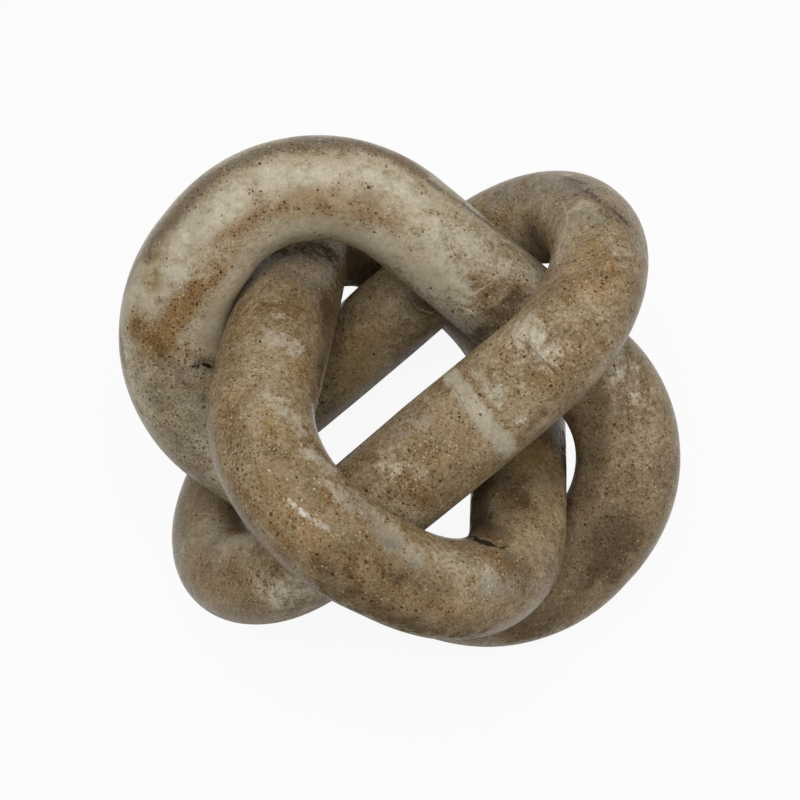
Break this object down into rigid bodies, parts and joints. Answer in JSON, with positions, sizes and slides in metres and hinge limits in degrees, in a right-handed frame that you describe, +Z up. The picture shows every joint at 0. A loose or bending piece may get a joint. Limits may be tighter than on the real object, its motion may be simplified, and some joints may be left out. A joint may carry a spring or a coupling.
{
  "type": "marble chain sculpture",
  "caption": "Carved marble knot of round-bar oval links that lie loose through one another, standing by itself on one end of each link.",
  "frame": {"origin": "on the ground, under the middle of the box round the whole sculpture", "axes": "+Z up; +Y away from the viewer of the picture, towards the front link's far end; +X to the viewer's right"},
  "size_m": [0.1472, 0.1416, 0.0999],
  "materials": {
    "speckled_marble": "satin polished",
    "brown_marble": "satin polished",
    "stained_marble": "satin polished"
  },
  "bodies": {
    "right_link_body": {"right_link": "speckled_marble"},
    "front_link_body": {"front_link": "brown_marble"},
    "left_link_body": {"left_link": "stained_marble"}
  },
  "joints": [
    {"name": "front_link_lift", "type": "hinge", "parent": "right_link_body", "child": "front_link_body", "pos_m": [0.02606, 0.03987, 0.01231], "axis": [-0.7788, -0.2709, 0.5658], "range_deg": [0, 4]},
    {"name": "left_link_swivel", "type": "hinge", "parent": "right_link_body", "child": "left_link_body", "pos_m": [-0.00014, -0.00416, 0.04998], "axis": [0.2691, -0.4211, 0.8662], "range_deg": [0, 4]}
  ]
}
